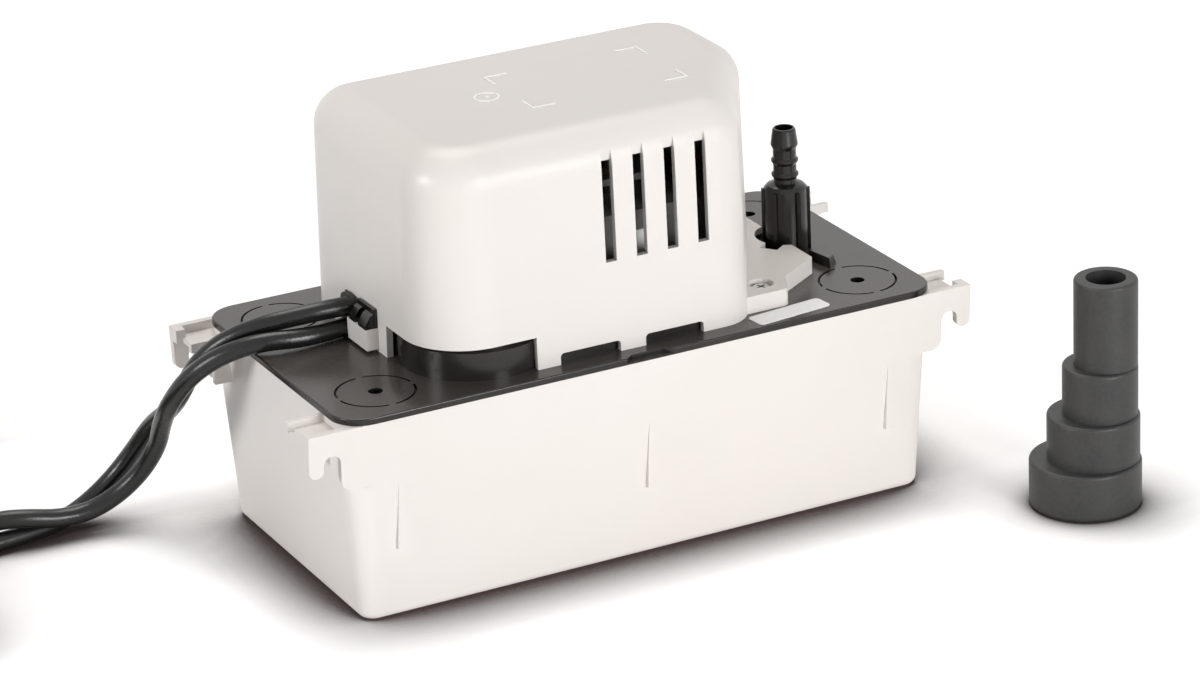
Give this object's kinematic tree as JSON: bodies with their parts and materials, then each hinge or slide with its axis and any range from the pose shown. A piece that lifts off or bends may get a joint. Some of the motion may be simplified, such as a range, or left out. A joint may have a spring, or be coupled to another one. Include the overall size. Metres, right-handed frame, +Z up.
{
  "type": "condensate pump",
  "caption": "Tank-mounted condensate pump with float switches, hose discharge adapter, ventilated motor cover, hanging hooks and a stepped reducer for the inlet",
  "frame": {"origin": "middle of the tank's underside, on the surface it stands on", "axes": "+X along the long side towards the discharge adapter, -Y the long face with the vents, +Z up"},
  "size_m": [0.5201, 0.3202, 0.1663],
  "materials": {
    "tank_plastic": "moulded, glossy white",
    "white_plastic": "moulded, glossy white",
    "black_plastic": "moulded, glossy black",
    "black_rubber": "matt",
    "zinc_steel": "zinc plated",
    "lamination_steel": "bare stacked laminations",
    "bobbin_plastic": "natural nylon",
    "coil_tape": "wound and taped",
    "bronze": "sintered",
    "switch_plastic": "moulded",
    "terminal_plastic": "moulded",
    "red_sleeve": "insulated lead",
    "cord_black": "PVC sheath",
    "plug_black": "moulded PVC",
    "nickel_brass": "nickel plated",
    "core_sleeve": "insulated cores",
    "float_foam": "hollow moulding",
    "button_red": "moulded",
    "ball_white": "moulded"
  },
  "bodies": {
    "pump_body": {"tank": "tank_plastic", "pump_lid": "black_plastic", "motor_cover": "white_plastic", "cover_screw": "zinc_steel", "cord_clamp": "black_plastic", "cord_grommet": "black_rubber", "volute": "black_plastic", "volute_cover": "black_plastic", "volute_screws": "zinc_steel", "pump_column": "black_plastic", "riser_pipe": "black_plastic", "stator_stack": "lamination_steel", "coil_bobbin": "bobbin_plastic", "coil_winding": "coil_tape", "lower_bracket": "zinc_steel", "upper_bracket": "zinc_steel", "lower_bearing": "bronze", "upper_bearing": "bronze", "motor_bolts": "zinc_steel", "switch_bracket": "zinc_steel", "run_switch": "switch_plastic", "alarm_switch": "switch_plastic", "switch_screws": "zinc_steel", "terminal_block": "terminal_plastic", "motor_lead": "red_sleeve", "mains_cord": "cord_black", "mains_coil": "cord_black", "mains_coil_tie": "black_plastic", "mains_plug": "plug_black", "mains_plug_pins": "nickel_brass", "alarm_cord": "cord_black", "alarm_coil": "cord_black", "alarm_coil_tie": "black_plastic", "alarm_lead_cores": "core_sleeve", "alarm_lead_ferrules": "nickel_brass"},
    "rotor": {"impeller": "black_plastic", "pump_shaft": "zinc_steel", "rotor_core": "lamination_steel", "slinger": "black_rubber", "cooling_fan": "black_plastic"},
    "float": {"float_body": "float_foam", "float_stem": "black_plastic", "float_collar": "black_plastic"},
    "run_lever": {"run_switch_lever": "zinc_steel"},
    "run_button": {"run_switch_button": "button_red"},
    "alarm_lever": {"alarm_switch_lever": "zinc_steel"},
    "alarm_button": {"alarm_switch_button": "button_red"},
    "adapter": {"discharge_adapter": "black_plastic", "adapter_o_ring": "black_rubber"},
    "check_valve": {"check_ball": "ball_white"},
    "reducer": {"stepped_reducer": "black_rubber"}
  },
  "joints": [
    {"name": "rotor_spin", "type": "hinge", "parent": "pump_body", "child": "rotor", "pos_m": [0.012, -0.014, 0.05], "axis": [0, 0, 1], "continuous": true},
    {"name": "float_rise", "type": "slide", "parent": "pump_body", "child": "float", "axis": [0, 0, 1], "range_m": [0, 0.02]},
    {"name": "run_lever_swing", "type": "hinge", "parent": "pump_body", "child": "run_lever", "pos_m": [-0.0745, -0.0242, 0.124], "axis": [0, -1, 0], "range_deg": [0, 4.5]},
    {"name": "run_button_press", "type": "slide", "parent": "pump_body", "child": "run_button", "axis": [0, 0, 1], "range_m": [0, 0.0005]},
    {"name": "alarm_lever_swing", "type": "hinge", "parent": "pump_body", "child": "alarm_lever", "pos_m": [-0.0315, -0.0242, 0.124], "axis": [0, 1, 0], "range_deg": [0, 4.5]},
    {"name": "alarm_button_press", "type": "slide", "parent": "pump_body", "child": "alarm_button", "axis": [0, 0, 1], "range_m": [0, 0.0005]},
    {"name": "adapter_turn", "type": "hinge", "parent": "pump_body", "child": "adapter", "pos_m": [0.0926, 0, 0.081], "axis": [0, 0, 1], "range_deg": [-70, 0]},
    {"name": "check_ball_lift", "type": "slide", "parent": "adapter", "child": "check_valve", "axis": [0, 0, 1], "range_m": [0, 0.003]},
    {"name": "reducer_lift", "type": "slide", "parent": "pump_body", "child": "reducer", "axis": [0, 0, 1], "range_m": [0, 0.1]}
  ],
  "couplings": [
    {"joint": "run_lever_swing", "follows": "float_rise", "rad_per_m": 3.92},
    {"joint": "alarm_lever_swing", "follows": "float_rise", "rad_per_m": 3.92},
    {"joint": "run_button_press", "follows": "float_rise", "ratio": 0.0249},
    {"joint": "alarm_button_press", "follows": "float_rise", "ratio": 0.0249}
  ]
}
